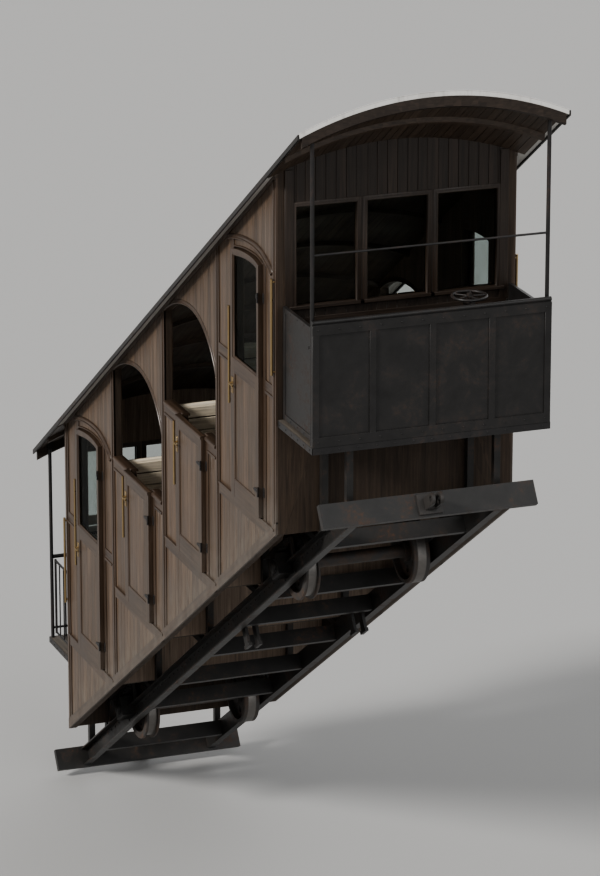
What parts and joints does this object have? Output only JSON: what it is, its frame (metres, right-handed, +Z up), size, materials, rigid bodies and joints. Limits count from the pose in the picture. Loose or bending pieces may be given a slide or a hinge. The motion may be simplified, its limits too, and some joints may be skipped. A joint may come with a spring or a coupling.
{
  "type": "funicular car",
  "caption": "Stepped funicular car in its working attitude on a steep incline: level compartments, arched open bays, end platforms, one barrel roof parallel to the track.",
  "frame": {"origin": "on the plane of the rail tops, midway between the two rails and midway between the two wheelsets; the mount rails", "axes": "+X level and uphill, +Y across the car (the left side, facing uphill), +Z up. The car stands in its working attitude: floors level, underframe and roof inclined 33.42 degrees (66 percent), rising towards +X"},
  "size_m": [8.3057, 2.482, 9.0439],
  "materials": {
    "body_timber": "varnished vertical boarding, dulled by weather",
    "inner_timber": "worn boards",
    "bench_timber": "light varnished slats",
    "roof_sheet": "light grey sheet with standing seams, weathered",
    "roof_trim": "dark painted timber",
    "frame_iron": "black painted iron with rust at the edges",
    "platform_iron": "black painted iron",
    "wheel_iron": "dark iron with a bright running tread",
    "brass": "polished by hands",
    "glass": "thin clear sheet"
  },
  "bodies": {
    "car_body": {"right_side_wall": "body_timber", "left_side_wall": "body_timber", "upper_end_wall": "body_timber", "lower_end_wall": "body_timber", "compartment_partitions": "inner_timber", "compartment_floors": "inner_timber", "platform_floors": "inner_timber", "roof_ribs": "inner_timber", "bench_seats": "bench_timber", "bench_backs": "bench_timber", "bench_supports": "bench_timber", "roof_shell": "roof_sheet", "roof_end_arches": "roof_trim", "eave_gutters": "roof_trim", "solebars": "frame_iron", "cross_members": "frame_iron", "floor_uprights": "frame_iron", "floor_bearers": "frame_iron", "axleboxes": "frame_iron", "axle_springs": "frame_iron", "rail_brake": "frame_iron", "draw_clevises": "frame_iron", "roof_posts": "platform_iron", "upper_dash": "platform_iron", "lower_railing": "platform_iron", "hand_brake": "platform_iron", "grab_rails": "brass", "window_glass": "glass"},
    "lower_wheelset": {"lower_wheelset": "wheel_iron"},
    "upper_wheelset": {"upper_wheelset": "wheel_iron"},
    "right_door_1": {"right_door_1": "body_timber", "right_door_1_glass": "glass"},
    "right_door_2": {"right_door_2": "body_timber"},
    "right_door_3": {"right_door_3": "body_timber"},
    "right_door_4": {"right_door_4": "body_timber", "right_door_4_glass": "glass"},
    "upper_gate_right": {"upper_gate_right": "platform_iron"},
    "lower_gate_right": {"lower_gate_right": "platform_iron"},
    "left_door_1": {"left_door_1": "body_timber", "left_door_1_glass": "glass"},
    "left_door_2": {"left_door_2": "body_timber"},
    "left_door_3": {"left_door_3": "body_timber"},
    "left_door_4": {"left_door_4": "body_timber", "left_door_4_glass": "glass"},
    "upper_gate_left": {"upper_gate_left": "platform_iron"},
    "lower_gate_left": {"lower_gate_left": "platform_iron"}
  },
  "joints": [
    {"name": "lower_wheelset_spin", "type": "hinge", "parent": "car_body", "child": "lower_wheelset", "pos_m": [-2.4646, 0, -1.26719], "axis": [0, 1, 0], "continuous": true},
    {"name": "upper_wheelset_spin", "type": "hinge", "parent": "car_body", "child": "upper_wheelset", "pos_m": [2.1341, 0, 1.76795], "axis": [0, 1, 0], "continuous": true},
    {"name": "right_door_1_hinge", "type": "hinge", "parent": "car_body", "child": "right_door_1", "pos_m": [-1.896, -1.165, -0.116], "axis": [0, 0, 1], "range_deg": [0, 90]},
    {"name": "right_door_2_hinge", "type": "hinge", "parent": "car_body", "child": "right_door_2", "pos_m": [-0.346, -1.165, 0.907], "axis": [0, 0, 1], "range_deg": [0, 90]},
    {"name": "right_door_3_hinge", "type": "hinge", "parent": "car_body", "child": "right_door_3", "pos_m": [1.204, -1.165, 1.93], "axis": [0, 0, 1], "range_deg": [0, 90]},
    {"name": "right_door_4_hinge", "type": "hinge", "parent": "car_body", "child": "right_door_4", "pos_m": [2.754, -1.165, 2.953], "axis": [0, 0, 1], "range_deg": [0, 90]},
    {"name": "upper_gate_right_hinge", "type": "hinge", "parent": "car_body", "child": "upper_gate_right", "pos_m": [3.14, -1.028, 3.976], "axis": [0, 0, 1], "range_deg": [0, 88]},
    {"name": "lower_gate_right_hinge", "type": "hinge", "parent": "car_body", "child": "lower_gate_right", "pos_m": [-3.14, -1.028, -0.508], "axis": [0, 0, -1], "range_deg": [0, 88]},
    {"name": "left_door_1_hinge", "type": "hinge", "parent": "car_body", "child": "left_door_1", "pos_m": [-1.896, 1.165, -0.116], "axis": [0, 0, -1], "range_deg": [0, 90]},
    {"name": "left_door_2_hinge", "type": "hinge", "parent": "car_body", "child": "left_door_2", "pos_m": [-0.346, 1.165, 0.907], "axis": [0, 0, -1], "range_deg": [0, 90]},
    {"name": "left_door_3_hinge", "type": "hinge", "parent": "car_body", "child": "left_door_3", "pos_m": [1.204, 1.165, 1.93], "axis": [0, 0, -1], "range_deg": [0, 90]},
    {"name": "left_door_4_hinge", "type": "hinge", "parent": "car_body", "child": "left_door_4", "pos_m": [2.754, 1.165, 2.953], "axis": [0, 0, -1], "range_deg": [0, 90]},
    {"name": "upper_gate_left_hinge", "type": "hinge", "parent": "car_body", "child": "upper_gate_left", "pos_m": [3.14, 1.028, 3.976], "axis": [0, 0, -1], "range_deg": [0, 88]},
    {"name": "lower_gate_left_hinge", "type": "hinge", "parent": "car_body", "child": "lower_gate_left", "pos_m": [-3.14, 1.028, -0.508], "axis": [0, 0, 1], "range_deg": [0, 88]}
  ]
}
